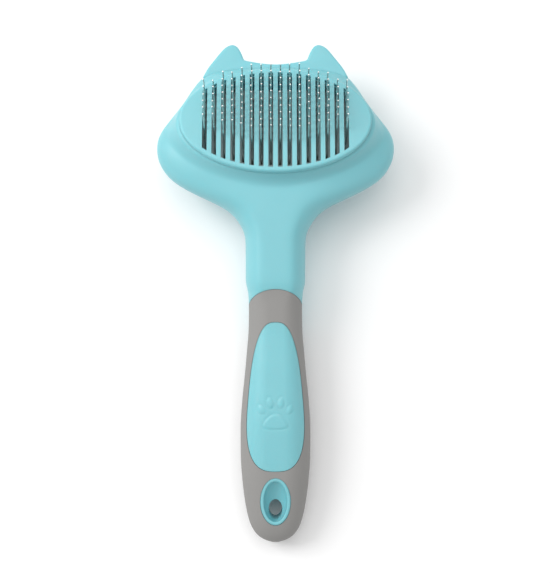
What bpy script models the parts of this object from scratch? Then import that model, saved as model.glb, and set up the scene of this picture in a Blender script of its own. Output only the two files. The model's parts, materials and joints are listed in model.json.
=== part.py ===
"""Self-cleaning slicker brush: a two-part shell with a tilted face, a field of bent wire pins,
and a spring-loaded plate that a button on the back pushes along the pins to shed the hair.

Handle frame: +Y from the handle's end towards the ears, +Z out of the face, +X to the right,
with Z = 0 on the parting plane of the neck. The whole brush is then laid on its back.
"""
import math

import bmesh
import bpy
from mathutils import Matrix

MM = 0.001

# Overall size, in millimetres
LENGTH = 198.0
CLEARANCE = 0.3
WALL = 2.0
GRIP_WALL = 1.6
REST_TILT = 5.39

# Face of the head: centre, tilt, collar, lip and opening (half sizes of ellipses)
FACE_Y = 165.1
FACE_Z = 9.9
FACE_TILT = 13.1
COLLAR = (38.9, 21.6)
COLLAR_FOOT = (39.5, 22.2)
COLLAR_DEPTH = 10.0
LIP = (35.9, 18.7)
LIP_HEIGHT = 1.2
OPENING = (34.7, 17.5)

# Cleaning plate
PLATE = (37.2, 20.8)
PLATE_RECESS = (36.2, 19.6)
PLATE_SKIRT = 2.7
PLATE_TOP = 1.5
SLOT_PITCH = 3.65
SLOT_WIDTH = 1.9
SLOT_FIELD = (35.4, 19.1)
POST_X = 32.2
POST_RADIUS = 1.8

# Pins: wires with a leaning lower leg and a knee
PINS_PER_ROW = (10, 10, 10, 9, 8, 8, 6, 6)
ROW_OFFSET = -1.0
ROW_OFFSET_PER_PIN = 0.45
PIN_PITCH = 2.76
PIN_LEAN = 18.0
PIN_TIP_LEAN = -10.5
PIN_TIP = 2.8
PIN_KNEE_HEIGHT = 10.6
PIN_RADIUS = 0.28
CARRIER_WIDTH = 1.1
CARRIER_THICK = 0.4

# Bed and retainer, measured down from the face
BED_DEPTH = 9.0
BED_THICK = 2.7
BED_HALF = (29.4, 17.0)
BED_FLOOR = 1.8
RETAINER_THICK = 0.8
TAB_RADIUS = 3.4
BOSS_RADIUS = 2.6
BOSS_PLACES = ((17.0, 17.2), (24.0, -16.2))

# Ejector: slide axis, travel, bridge and button
SLIDE_LEAN = 26.1
BRIDGE_FRONT = -21.8
BRIDGE_THICK = 1.5
BRIDGE_HALF = (33.8, 3.0)
SPRING_X = 22.0
BUTTON_U = 8.4
BUTTON_WIDTH = 25.8
BUTTON_HEIGHT = 20.6
BUTTON_CORNER = (4.8, 6.5)
BUTTON_SHOULDER = 7.7
BUTTON_PROUD = 1.0
BUTTON_INNER = -24.7

# Handle details
EYELET_Y = 17.3
EYELET_HALF = (6.0, 9.5)
EYELET_LIP = 1.3
EYELET_SUNK = 0.5
HOLE_Y = 14.2
HOLE_HALF = (2.7, 4.0)
INLAY_ENDS = (29.4, 87.2)
INLAY_HALF = 10.55
INLAY_POWER = 2.8
INLAY_TAPER = 0.235
GRIP_FRONT_END = 100.0
GRIP_REAR_END = 85.5

# Outline of the two halves: (distance from the handle's end, size)
HALF_WIDTH = ((0.0, 1.6), (0.7, 3.8), (2.0, 6.2), (4.0, 8.2), (7.0, 9.9), (11.0, 11.1), (17.0, 12.2),
              (25.0, 13.2), (35.0, 13.8), (45.0, 13.85), (56.0, 13.2), (66.0, 12.2), (76.0, 11.3),
              (86.0, 10.6), (93.0, 10.55), (98.5, 10.8), (103.0, 11.8), (117.0, 11.85), (120.5, 12.0),
              (124.0, 13.1), (127.5, 15.3), (130.5, 18.0), (133.0, 21.8), (135.5, 27.2), (138.0, 32.5),
              (141.0, 38.0), (144.0, 42.0), (148.0, 45.0), (152.0, 46.7), (156.0, 47.2), (159.5, 46.8),
              (163.0, 45.3), (167.0, 42.4), (171.0, 39.3), (175.0, 36.4), (179.0, 33.8), (182.5, 31.0),
              (184.5, 28.8), (186.0, 26.2), (187.0, 23.6), (188.0, 20.0), (188.6, 17.5), (189.1, 14.0))
FRONT_DEPTH = ((0.0, 1.3), (0.7, 2.8), (2.0, 4.6), (4.0, 6.2), (7.0, 7.6), (11.0, 8.8), (17.0, 9.9),
               (30.0, 11.2), (45.0, 11.6), (66.0, 10.8), (86.0, 9.8), (97.0, 10.2), (103.0, 10.9),
               (128.0, 11.0), (140.0, 11.0), (148.0, 11.8), (156.0, 12.4), (167.0, 11.6), (178.0, 10.4),
               (182.0, 9.3), (185.0, 8.0), (187.0, 6.2), (188.0, 4.6), (188.6, 3.2), (189.1, 1.2))
REAR_DEPTH = ((0.0, 1.2), (0.7, 2.6), (2.0, 4.2), (4.0, 5.6), (7.0, 6.9), (11.0, 8.0), (17.0, 9.0),
              (30.0, 10.3), (45.0, 10.6), (66.0, 9.4), (86.0, 8.0), (103.0, 8.2), (111.4, 8.1),
              (124.3, 8.2), (131.6, 7.9), (136.4, 8.5), (139.5, 9.9), (142.8, 12.1), (149.0, 16.7),
              (154.0, 18.7), (159.1, 19.7), (163.8, 19.4), (171.6, 17.3), (178.7, 14.2), (184.7, 9.8),
              (187.0, 7.2), (188.0, 5.4), (188.6, 3.6), (189.1, 1.2))
SEAM_HEIGHT = ((0.0, 0.0), (138.0, 0.0), (142.0, -0.05), (151.5, -0.8), (167.1, -3.0), (189.9, -6.0),
               (198.0, -7.07))
STATIONS = (0.0, 0.7, 2.0, 4.0, 7.0, 11.0, 17.0, 26.0, 38.0, 50.0, 62.0, 74.0, 86.0, 97.0, 103.0, 112.0,
            120.5, 124.0, 127.5, 130.5, 133.0, 135.5, 138.0, 141.0, 144.0, 148.0, 152.0, 156.0, 159.5,
            163.0, 167.0, 171.0, 175.0, 179.0, 182.5, 184.5, 186.0, 187.0, 188.0, 188.6, 189.1)
SECTION_POWER = 2.3
SECTION_STEPS = 12

# One ear, right-hand side: (distance from the centre line, distance from the handle's end)
EAR = ((29.0, 184.5), (27.4, 187.0), (25.8, 190.0), (24.0, 192.6), (21.3, 195.8), (19.4, 197.4),
       (17.4, 198.0), (15.5, 197.2), (13.9, 194.9), (12.3, 192.0), (10.4, 190.0), (8.0, 188.8),
       (8.0, 184.0))
EAR_THICK = 2.8

TEAL = (0.272, 0.652, 0.708)
GREY = (0.365, 0.355, 0.345)
STEEL = (0.62, 0.62, 0.60)
WHITE = (0.80, 0.82, 0.82)


def smooth_profile(points):
    """Return a function that passes smoothly through the points without overshoot."""
    xs = [point[0] for point in points]
    ys = [point[1] for point in points]
    chords = [(ys[i + 1] - ys[i]) / (xs[i + 1] - xs[i]) for i in range(len(xs) - 1)]
    slopes = [chords[0]]
    for before, after in zip(chords, chords[1:]):
        steady = before * after > 0.0
        slopes.append(2.0 * before * after / (before + after) if steady else 0.0)
    slopes.append(chords[-1])

    def value(x):
        x = min(max(x, xs[0]), xs[-1])
        i = max(k for k in range(len(xs) - 1) if xs[k] <= x)
        span = xs[i + 1] - xs[i]
        t = (x - xs[i]) / span
        rise = 3 * t**2 - 2 * t**3
        bend = t * (1 - t)
        return (ys[i] + (ys[i + 1] - ys[i]) * rise
                + span * bend * ((1 - t) * slopes[i] - t * slopes[i + 1]))

    return value


half_width = smooth_profile(HALF_WIDTH)
front_depth = smooth_profile(FRONT_DEPTH)
rear_depth = smooth_profile(REAR_DEPTH)
seam_height = smooth_profile(SEAM_HEIGHT)


def new_collection(name):
    collection = bpy.data.collections.new(name)
    bpy.context.scene.collection.children.link(collection)
    return collection


def material(name, colour, roughness, metallic=0.0):
    made = bpy.data.materials.new(name)
    made.use_nodes = True
    shader = made.node_tree.nodes["Principled BSDF"]
    shader.inputs["Base Color"].default_value = (*colour, 1.0)
    shader.inputs["Roughness"].default_value = roughness
    shader.inputs["Metallic"].default_value = metallic
    return made


def frame(name, parent, place=(0.0, 0.0, 0.0), lean=0.0):
    """An empty whose Z axis leans from the parent's Z towards +Y by lean degrees."""
    empty = bpy.data.objects.new(name, None)
    empty.location = [value * MM for value in place]
    empty.rotation_euler = (math.radians(-lean), 0.0, 0.0)
    empty.parent = parent
    PARTS.objects.link(empty)
    return empty


def mesh_object(name, bm, parent, finish, collection=None):
    """Turn a bmesh in millimetres into a metre-sized object under its parent frame."""
    bmesh.ops.scale(bm, vec=(MM, MM, MM), verts=bm.verts)
    bmesh.ops.recalc_face_normals(bm, faces=bm.faces)
    mesh = bpy.data.meshes.new(name)
    bm.to_mesh(mesh)
    bm.free()
    mesh.shade_smooth()
    mesh.set_sharp_from_angle(angle=math.radians(35))
    piece = bpy.data.objects.new(name, mesh)
    piece.parent = parent
    if finish:
        mesh.materials.append(finish)
    (collection or PARTS).objects.link(piece)
    return piece


def cutter(name, bm, parent):
    piece = mesh_object(name, bm, parent, None, CUTTERS)
    piece.hide_render = True
    piece.display_type = 'WIRE'
    return piece


def combine(piece, other, operation):
    """Add a live Boolean with an object of the cutters' collection."""
    boolean = piece.modifiers.new(f"{operation.lower()}_{other.name}", 'BOOLEAN')
    boolean.operation = operation
    boolean.object = other
    boolean.solver = 'EXACT'


def join_rings(bm, rings):
    """Skin closed rings of equal length and cap the first and the last."""
    rows = [[bm.verts.new(point) for point in ring] for ring in rings]
    for lower, upper in zip(rows, rows[1:]):
        for i in range(len(lower)):
            j = (i + 1) % len(lower)
            bm.faces.new((lower[i], lower[j], upper[j], upper[i]))
    bm.faces.new(rows[0])
    bm.faces.new(rows[-1])
    return rows


def half_section(y, side, inset=0.0, past_seam=None):
    """Ring of one half's cross-section: side is +1 for the front half and -1 for the rear."""
    depth = (front_depth if side > 0 else rear_depth)(y) - inset
    width = half_width(y) - inset
    base = seam_height(y) + side * CLEARANCE / 2
    ring = []
    for i in range(SECTION_STEPS + 1):
        angle = math.pi * i / SECTION_STEPS
        across = math.copysign(abs(math.cos(angle)) ** (2 / SECTION_POWER), math.cos(angle))
        ring.append((width * across, y, base + side * depth * math.sin(angle) ** (2 / SECTION_POWER)))
    if past_seam is not None:
        low = base - side * past_seam
        ring += [(-width, y, low), (width, y, low)]
    return ring


def half_loft(side, inset=0.0, past_seam=None, span=(0.0, LENGTH)):
    """Closed loft of one half along the handle, or a smaller copy of it."""
    bm = bmesh.new()
    inner = [y for y in STATIONS if span[0] < y < span[1]]
    ends = [max(span[0], STATIONS[0]), min(span[1], STATIONS[-1])]
    stations = [ends[0]] + [y for y in inner if y not in ends] + [ends[1]]
    join_rings(bm, [half_section(y, side, inset, past_seam) for y in stations])
    return bm


def ellipse_ring(half, z, steps=48, centre=(0.0, 0.0)):
    return [(centre[0] + half[0] * math.cos(2 * math.pi * i / steps),
             centre[1] + half[1] * math.sin(2 * math.pi * i / steps), z) for i in range(steps)]


def ellipse_stack(levels, steps=48):
    """Solid from (half sizes, height) levels, lowest first."""
    bm = bmesh.new()
    join_rings(bm, [ellipse_ring(half, z, steps) for half, z in levels])
    return bm


def prism(outline, low, high):
    bm = bmesh.new()
    join_rings(bm, [[(x, y, low) for x, y in outline], [(x, y, high) for x, y in outline]])
    return bm


def box(size, centre):
    bm = bmesh.new()
    bmesh.ops.create_cube(bm, size=1.0)
    bmesh.ops.scale(bm, vec=size, verts=bm.verts)
    bmesh.ops.translate(bm, vec=centre, verts=bm.verts)
    return bm


def rod(radius, low, high, place=(0.0, 0.0), steps=16):
    bm = bmesh.new()
    bmesh.ops.create_cone(bm, cap_ends=True, segments=steps, radius1=radius, radius2=radius,
                          depth=high - low)
    bmesh.ops.translate(bm, vec=(place[0], place[1], (low + high) / 2), verts=bm.verts)
    return bm


def rounded_outline(half, corner, steps=5):
    points = []
    for quarter in range(4):
        sign_x = 1 if quarter in (0, 3) else -1
        sign_y = 1 if quarter < 2 else -1
        for i in range(steps + 1):
            angle = math.pi / 2 * (quarter + i / steps)
            points.append((sign_x * (half[0] - corner) + corner * math.cos(angle),
                           sign_y * (half[1] - corner) + corner * math.sin(angle)))
    return points


def button_outline(grow=0.0, steps=18):
    """D outline: a round arch over a flat foot with rounded corners."""
    half = BUTTON_WIDTH / 2 + grow
    corner, rise = BUTTON_CORNER[0] + grow, BUTTON_CORNER[1] + grow
    foot = BUTTON_U - BUTTON_HEIGHT / 2 - grow
    shoulder = foot + grow + BUTTON_SHOULDER
    arch = BUTTON_U + BUTTON_HEIGHT / 2 + grow - shoulder
    points = [(half * math.cos(math.pi * i / steps), shoulder + arch * math.sin(math.pi * i / steps))
              for i in range(steps + 1)]
    for start, centre_x in ((math.pi, corner - half), (1.5 * math.pi, half - corner)):
        for i in range(7):
            angle = start + math.pi / 2 * i / 6
            points.append((centre_x + corner * math.cos(angle), foot + rise + rise * math.sin(angle)))
    return points


def inlay_outline(grow=0.0, steps=36):
    """Egg on a squared oval: narrower at the neck's end, broad and full at the other."""
    low, high = INLAY_ENDS
    middle = (low + high) / 2
    half_length = (high - low) / 2 + grow
    power = 2 / INLAY_POWER
    points = []
    for i in range(steps):
        angle = 2 * math.pi * i / steps
        along = math.copysign(abs(math.sin(angle)) ** power, math.sin(angle))
        across = math.copysign(abs(math.cos(angle)) ** power, math.cos(angle))
        width = (INLAY_HALF + grow) * (1 - INLAY_TAPER * along)
        points.append((width * across, middle + half_length * along))
    return points


def turned_screw(name, head_radius, shank_radius, length, parent, place, base):
    """Pan-head screw whose head rests at the height base and whose shank points up."""
    head = 1.2
    profile = [(0.0, length), (shank_radius, length - 0.6), (shank_radius, 0.0), (head_radius, 0.0),
               (head_radius, -head * 0.6), (head_radius * 0.7, -head), (0.0, -head)]
    mesh = bpy.data.meshes.new(name)
    verts = [(x * MM, 0.0, z * MM) for x, z in profile]
    mesh.from_pydata(verts, [(i, i + 1) for i in range(len(verts) - 1)], [])
    mesh.materials.append(MATERIALS["screw_steel"])
    piece = bpy.data.objects.new(name, mesh)
    piece.parent = parent
    piece.location = (place[0] * MM, place[1] * MM, base * MM)
    turn = piece.modifiers.new("turn", 'SCREW')
    turn.axis = 'Z'
    turn.steps = 12
    turn.render_steps = 12
    turn.use_merge_vertices = True
    turn.merge_threshold = 0.00002
    turn.use_smooth_shade = True
    PARTS.objects.link(piece)
    return piece


def grip_region(side, grow):
    """Box or arched prism that says where the soft grip covers one half."""
    reach = side * 30.0
    if side < 0:
        edge = GRIP_REAR_END + grow
        return prism(((-20, -5), (20, -5), (20, edge), (-20, edge)), min(0, reach) - 5, max(0, reach) + 5)
    steps = 12
    shoulder = GRIP_FRONT_END - 8.0
    angles = [math.pi * i / steps for i in range(steps + 1)]
    arch = [((10.9 + grow) * math.cos(angle), shoulder + (8.0 + grow) * math.sin(angle)) for angle in angles]
    outline = [(-20.0, -5.0), (20.0, -5.0), (20.0, shoulder)] + arch + [(-20.0, shoulder)]
    return prism(outline, -5.0, 30.0)


def hollow(shell, side):
    inside = half_loft(side, WALL, past_seam=1.5, span=(4.0, 186.3))
    combine(shell, cutter(f"{shell.name}_inside", inside, HANDLE), 'DIFFERENCE')


def grip_pocket(shell, side):
    """Cut the shell back to its core under the soft grip."""
    pocket = cutter(f"{shell.name}_pocket", grip_region(side, CLEARANCE), HANDLE)
    core = half_loft(side, GRIP_WALL + CLEARANCE, past_seam=8.0, span=(2.2, 112.0))
    core = cutter(f"{shell.name}_core", core, HANDLE)
    combine(pocket, core, 'DIFFERENCE')
    combine(shell, pocket, 'DIFFERENCE')


def eyelet_clearance(piece):
    half = (EYELET_HALF[0] + CLEARANCE, EYELET_HALF[1] + CLEARANCE)
    ring = ellipse_ring(half, 0.0, 24, (0.0, EYELET_Y))
    hole = prism([(x, y) for x, y, z in ring], -20.0, 20.0)
    combine(piece, cutter(f"{piece.name}_eyelet_hole", hole, HANDLE), 'DIFFERENCE')


def build_front_shell():
    shell = mesh_object("front_shell", half_loft(1), HANDLE, MATERIALS["shell_teal"])
    collar = ellipse_stack([(COLLAR_FOOT, -COLLAR_DEPTH), (COLLAR, -1.0), ((39.2, 22.4), 0.0)])
    combine(shell, cutter("collar", collar, FACE), 'UNION')
    for side, sign in (("left", -1), ("right", 1)):
        ear = prism([(sign * x, y) for x, y in EAR], 0.0, EAR_THICK)
        lean = math.radians(-7.5)
        bmesh.ops.translate(ear, vec=(0, -189.9, 0), verts=ear.verts)
        bmesh.ops.rotate(ear, matrix=Matrix.Rotation(lean, 3, 'X'), verts=ear.verts)
        bmesh.ops.translate(ear, vec=(0, 189.9, -6.0 + CLEARANCE / 2), verts=ear.verts)
        combine(shell, cutter(f"ear_{side}", ear, HANDLE), 'UNION')
    combine(shell, cutter("lip", ellipse_stack([(LIP, -1.5), (LIP, LIP_HEIGHT)]), FACE), 'UNION')
    hollow(shell, 1)
    opening = ellipse_stack([(OPENING, -11.0), (OPENING, 6.0)])
    combine(shell, cutter("opening", opening, FACE), 'DIFFERENCE')
    for place in BOSS_PLACES:
        for sign in (-1, 1):
            spot = (sign * place[0], place[1])
            label = f"{'left' if sign < 0 else 'right'}_{'upper' if place[1] > 0 else 'lower'}"
            boss = rod(BOSS_RADIUS, -BED_DEPTH + CLEARANCE, -2.5, spot)
            combine(shell, cutter(f"boss_{label}", boss, FACE), 'UNION')
            pilot = rod(1.3, -BED_DEPTH - 1.0, -4.0, spot, 10)
            combine(shell, cutter(f"pilot_{label}", pilot, FACE), 'DIFFERENCE')
    grip_pocket(shell, 1)
    eyelet_clearance(shell)
    return shell


def build_rear_shell():
    shell = mesh_object("rear_shell", half_loft(-1), HANDLE, MATERIALS["shell_teal"])
    hollow(shell, -1)
    opening = prism(button_outline(grow=0.35), -45.0, -16.0)
    combine(shell, cutter("button_opening", opening, SLIDE), 'DIFFERENCE')
    grip_pocket(shell, -1)
    eyelet_clearance(shell)
    return shell


def build_grip(name, side):
    """Soft skin over one half of the handle."""
    edge = GRIP_FRONT_END if side > 0 else GRIP_REAR_END
    grip = mesh_object(name, half_loft(side, span=(0.0, edge + 2.0)), HANDLE, MATERIALS["grip_grey"])
    region = cutter(f"{name}_region", grip_region(side, 0.0), HANDLE)
    combine(grip, region, 'INTERSECT')
    core = half_loft(side, GRIP_WALL, past_seam=8.0, span=(2.0, edge + 8.0))
    combine(grip, cutter(f"{name}_core", core, HANDLE), 'DIFFERENCE')
    eyelet_clearance(grip)
    return grip


def build_inlay(grip):
    window = prism(inlay_outline(CLEARANCE), 2.0, 30.0)
    combine(grip, cutter("inlay_window", window, HANDLE), 'DIFFERENCE')
    low, high = INLAY_ENDS
    skin = half_loft(1, span=(low - 4.0, high + 4.0))
    inlay = mesh_object("handle_inlay", skin, HANDLE, MATERIALS["shell_teal"])
    combine(inlay, cutter("inlay_shape", prism(inlay_outline(), 2.0, 30.0), HANDLE), 'INTERSECT')
    core = half_loft(1, GRIP_WALL, past_seam=8.0, span=(low - 8.0, high + 8.0))
    combine(inlay, cutter("inlay_core", core, HANDLE), 'DIFFERENCE')
    return inlay


def lip_plane(depth, sign):
    """Height of the eyelet's flat lip, which follows the taper of the handle's end."""
    low = EYELET_Y - EYELET_HALF[1]
    high = EYELET_Y + EYELET_HALF[1]
    slope = (depth(high) - depth(low)) / (high - low)

    def height(y):
        return sign * (depth(EYELET_Y) - EYELET_SUNK + slope * (y - EYELET_Y))

    return height


def build_eyelet():
    """Oval bush through the handle's end with a funnel on each side."""
    top = lip_plane(front_depth, 1)
    bottom = lip_plane(rear_depth, -1)
    steps = 24
    mouth = (EYELET_HALF[0] - EYELET_LIP, EYELET_HALF[1] - EYELET_LIP)

    def slanted_ring(half, height, lift=0.0):
        return [(x, y, height(y) + lift) for x, y, z in ellipse_ring(half, 0.0, steps, (0.0, EYELET_Y))]

    bm = bmesh.new()
    join_rings(bm, [slanted_ring(EYELET_HALF, bottom), slanted_ring(EYELET_HALF, top)])
    eyelet = mesh_object("hang_eyelet", bm, HANDLE, MATERIALS["shell_teal"])
    funnel = bmesh.new()
    throat = [ellipse_ring(HOLE_HALF, z, steps, (0.0, HOLE_Y)) for z in (-2.0, 2.0)]
    join_rings(funnel, [slanted_ring(mouth, bottom, -1.0), slanted_ring(mouth, bottom)] + throat
               + [slanted_ring(mouth, top), slanted_ring(mouth, top, 1.0)])
    combine(eyelet, cutter("funnel", funnel, HANDLE), 'DIFFERENCE')
    return eyelet


def row_places():
    """Signed X of each row and its number of pins, from left to right."""
    right = [((i + 0.5) * SLOT_PITCH, count) for i, count in enumerate(PINS_PER_ROW)]
    return [(-x, count) for x, count in reversed(right)] + right


def pin_roots(count):
    """Places of a row's wires: a shorter row sits further from the ears."""
    centre = ROW_OFFSET - ROW_OFFSET_PER_PIN * (PINS_PER_ROW[0] - count)
    return [centre + (k - (count - 1) / 2) * PIN_PITCH for k in range(count)]


def build_pin_row(number, x, count):
    """A carrier strip with its row of bent wires, made into one body."""
    top = -(BED_DEPTH + BED_FLOOR + CLEARANCE)
    roots = pin_roots(count)
    reach = roots[-1] - roots[0] + 2.4
    middle = (roots[0] + roots[-1]) / 2
    strip = box((CARRIER_WIDTH, reach, CARRIER_THICK), (x, middle, top - CARRIER_THICK / 2))
    row = mesh_object(f"pin_row_{number:02d}", strip, FACE, MATERIALS["pin_steel"])
    wires = bmesh.new()
    lean = math.tan(math.radians(PIN_LEAN))
    tip_lean = math.radians(PIN_TIP_LEAN)
    for root in roots:
        knee = (PIN_KNEE_HEIGHT - top) * lean
        low = top - CARRIER_THICK / 2
        spots = ((root - CARRIER_THICK / 2 * lean, low), (root + knee, PIN_KNEE_HEIGHT),
                 (root + knee + PIN_TIP * math.sin(tip_lean), PIN_KNEE_HEIGHT + PIN_TIP * math.cos(tip_lean)))
        rings = []
        for y, z in spots:
            rings.append([(x + PIN_RADIUS * math.cos(math.pi / 4 + math.pi / 2 * i),
                           y + PIN_RADIUS * math.sin(math.pi / 4 + math.pi / 2 * i), z) for i in range(4)])
        join_rings(wires, rings)
    combine(row, cutter(f"wires_{number:02d}", wires, FACE), 'UNION')
    return row


def tab_places():
    return [(sign * x, y) for x, y in BOSS_PLACES for sign in (-1, 1)]


def build_bed():
    top = -BED_DEPTH
    bottom = top - BED_THICK
    outline = rounded_outline(BED_HALF, 5.0)
    bed = mesh_object("pin_bed", prism(outline, bottom, top), FACE, MATERIALS["bed_white"])
    for number, place in enumerate(tab_places()):
        tab = rod(TAB_RADIUS, bottom, top, place)
        combine(bed, cutter(f"bed_tab_{number}", tab, FACE), 'UNION')
    recess = box((2 * BED_HALF[0] - 2.0, 2 * BED_HALF[1] - 4.0, 2.0),
                 (0.0, 0.0, top - BED_FLOOR - 1.0))
    combine(bed, cutter("bed_recess", recess, FACE), 'DIFFERENCE')
    slots = bmesh.new()
    for x, count in row_places():
        roots = pin_roots(count)
        middle = (roots[0] + roots[-1]) / 2
        add_box(slots, (1.2, roots[-1] - roots[0] + 2.6, 4.0), (x, middle + 0.3, top - 1.5))
    combine(bed, cutter("bed_slots", slots, FACE), 'DIFFERENCE')
    screw_holes(bed, bottom - 1.0, top + 1.0)
    return bed


def add_box(bm, size, centre):
    made = bmesh.ops.create_cube(bm, size=1.0)
    bmesh.ops.scale(bm, vec=size, verts=made["verts"])
    bmesh.ops.translate(bm, vec=centre, verts=made["verts"])


def screw_holes(piece, low, high):
    for number, place in enumerate(tab_places()):
        hole = rod(1.3, low, high, place, 10)
        combine(piece, cutter(f"{piece.name}_hole_{number}", hole, FACE), 'DIFFERENCE')


def build_retainer():
    top = -BED_DEPTH - BED_THICK - CLEARANCE
    bottom = top - RETAINER_THICK
    outline = rounded_outline((BED_HALF[0] - 0.4, BED_HALF[1] - 0.4), 4.6)
    plate = mesh_object("pin_retainer", prism(outline, bottom, top), FACE, MATERIALS["bed_white"])
    for number, place in enumerate(tab_places()):
        combine(plate, cutter(f"retainer_tab_{number}", rod(TAB_RADIUS, bottom, top, place), FACE), 'UNION')
    screw_holes(plate, bottom - 1.0, top + 1.0)
    for number, place in enumerate(tab_places()):
        turned_screw(f"bed_screw_{number + 1}", 2.1, 1.0, 7.0, FACE, place, bottom - CLEARANCE)
    return plate


def build_plate():
    """Slotted tray with two long posts that carry it through the head."""
    low = CLEARANCE
    high = CLEARANCE + PLATE_SKIRT
    edge = (PLATE[0] - 0.7, PLATE[1] - 0.7)
    tray = ellipse_stack([(PLATE, low), (PLATE, high - 0.7), (edge, high)])
    plate = mesh_object("cleaning_plate", tray, FACE, MATERIALS["shell_teal"])
    recess = ellipse_stack([(PLATE_RECESS, low - 1.0), (PLATE_RECESS, high - PLATE_TOP)])
    combine(plate, cutter("plate_recess", recess, FACE), 'DIFFERENCE')
    slots = bmesh.new()
    for x, count in row_places():
        reach = SLOT_FIELD[1] * math.sqrt(1 - (x / SLOT_FIELD[0]) ** 2)
        add_box(slots, (SLOT_WIDTH, 2 * reach, 6.0), (x, 0.0, high - 1.0))
    combine(plate, cutter("plate_slots", slots, FACE), 'DIFFERENCE')
    for side, sign in (("left", -1), ("right", 1)):
        post = rod(POST_RADIUS, BRIDGE_FRONT + CLEARANCE, 2.2, (sign * POST_X, 0.0))
        combine(plate, cutter(f"post_{side}", post, SLIDE), 'UNION')
        pilot = rod(1.1, BRIDGE_FRONT - 1.0, BRIDGE_FRONT + 7.5, (sign * POST_X, 0.0), 10)
        combine(plate, cutter(f"post_pilot_{side}", pilot, SLIDE), 'DIFFERENCE')
    return plate


def build_bridge():
    low = BRIDGE_FRONT - BRIDGE_THICK
    bridge = mesh_object("push_bridge", prism(rounded_outline(BRIDGE_HALF, 2.4), low, BRIDGE_FRONT),
                         SLIDE, MATERIALS["bed_white"])
    tongue = box((16.0, 12.8, BRIDGE_THICK), (0.0, 5.4, (low + BRIDGE_FRONT) / 2))
    combine(bridge, cutter("tongue", tongue, SLIDE), 'UNION')
    for side, sign in (("left", -1), ("right", 1)):
        pad = rod(4.0, low, BRIDGE_FRONT, (sign * SPRING_X, 0.0), 20)
        combine(bridge, cutter(f"spring_pad_{side}", pad, SLIDE), 'UNION')
        hole = rod(1.1, low - 1.0, BRIDGE_FRONT + 1.0, (sign * POST_X, 0.0), 10)
        combine(bridge, cutter(f"bridge_hole_{side}", hole, SLIDE), 'DIFFERENCE')
        turned_screw(f"plate_screw_{side}", 1.6, 0.8, 7.5, SLIDE, (sign * POST_X, 0.0), low - CLEARANCE)
    hole = rod(1.4, low - 1.0, BRIDGE_FRONT + 1.0, (0.0, BUTTON_U), 10)
    combine(bridge, cutter("bridge_hole_middle", hole, SLIDE), 'DIFFERENCE')
    return bridge


def build_button():
    """Thumb button: a D prism that follows the dome, hollow, with a stem to the bridge."""
    button = mesh_object("button", prism(button_outline(), -45.0, BUTTON_INNER), SLIDE,
                         MATERIALS["shell_teal"])
    dome = cutter("button_dome", half_loft(-1, -BUTTON_PROUD, past_seam=2.0, span=(138.0, 187.0)), HANDLE)
    combine(button, dome, 'INTERSECT')
    hollow_out = prism(button_outline(grow=-1.8), -45.0, BUTTON_INNER + 2.0)
    inner = cutter("button_hollow", hollow_out, SLIDE)
    lid = cutter("button_lid", half_loft(-1, 1.2, past_seam=2.0, span=(138.0, 187.0)), HANDLE)
    combine(inner, lid, 'INTERSECT')
    combine(button, inner, 'DIFFERENCE')
    stem = rod(3.2, -30.7, BRIDGE_FRONT - BRIDGE_THICK - CLEARANCE, (0.0, BUTTON_U))
    combine(button, cutter("button_stem", stem, SLIDE), 'UNION')
    pilot = rod(1.4, -28.7, -20.0, (0.0, BUTTON_U), 10)
    combine(button, cutter("button_pilot", pilot, SLIDE), 'DIFFERENCE')
    screw = turned_screw("button_screw", 2.4, 1.0, 7.0, SLIDE, (0.0, BUTTON_U), BRIDGE_FRONT + CLEARANCE)
    screw.rotation_euler = (math.pi, 0.0, 0.0)
    return button


def build_spring(side, sign):
    """Conical return spring between the retainer and the bridge."""
    turns = 3
    steps = 12
    wire = 0.25
    low = BRIDGE_FRONT + wire + CLEARANCE
    high = -(BED_DEPTH + BED_THICK + RETAINER_THICK) - 3 * CLEARANCE - 1.3
    curve = bpy.data.curves.new(f"return_spring_{side}", 'CURVE')
    curve.dimensions = '3D'
    curve.bevel_depth = wire * MM
    curve.bevel_resolution = 2
    curve.use_fill_caps = True
    spline = curve.splines.new('POLY')
    count = turns * steps + 1
    spline.points.add(count - 1)
    for i in range(count):
        t = i / (count - 1)
        angle = 2 * math.pi * turns * t
        radius = 3.4 - 1.4 * t
        spline.points[i].co = (radius * math.cos(angle) * MM, radius * math.sin(angle) * MM,
                               (low + (high - low) * t) * MM, 1.0)
    curve.materials.append(MATERIALS["screw_steel"])
    spring = bpy.data.objects.new(f"return_spring_{side}", curve)
    spring.location = (sign * SPRING_X * MM, 0.0, 0.0)
    spring.parent = SLIDE
    PARTS.objects.link(spring)
    return spring


def lay_down():
    """Lift the tilted brush so that it rests at z = 0 with its box centred on the origin."""
    bpy.context.view_layer.update()
    depsgraph = bpy.context.evaluated_depsgraph_get()
    points = []
    for piece in PARTS.objects:
        if piece.type == 'MESH':
            evaluated = piece.evaluated_get(depsgraph)
            points += [evaluated.matrix_world @ vertex.co for vertex in evaluated.data.vertices]
    low_y = min(point.y for point in points)
    high_y = max(point.y for point in points)
    HANDLE.location = (0.0, -(low_y + high_y) / 2, -min(point.z for point in points))


for leftover in list(bpy.data.objects):
    bpy.data.objects.remove(leftover, do_unlink=True)
PARTS = new_collection("slicker_brush")
CUTTERS = new_collection("cutters")
MATERIALS = {
    "shell_teal": material("shell_teal", TEAL, 0.42),
    "grip_grey": material("grip_grey", GREY, 0.78),
    "pin_steel": material("pin_steel", STEEL, 0.25, 1.0),
    "screw_steel": material("screw_steel", STEEL, 0.35, 1.0),
    "bed_white": material("bed_white", WHITE, 0.5),
}
HANDLE = frame("rest_frame", None, lean=-REST_TILT)
FACE = frame("face_frame", HANDLE, (0.0, FACE_Y, FACE_Z), FACE_TILT)
SLIDE = frame("slide_frame", HANDLE, (0.0, FACE_Y, FACE_Z), SLIDE_LEAN)

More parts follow.
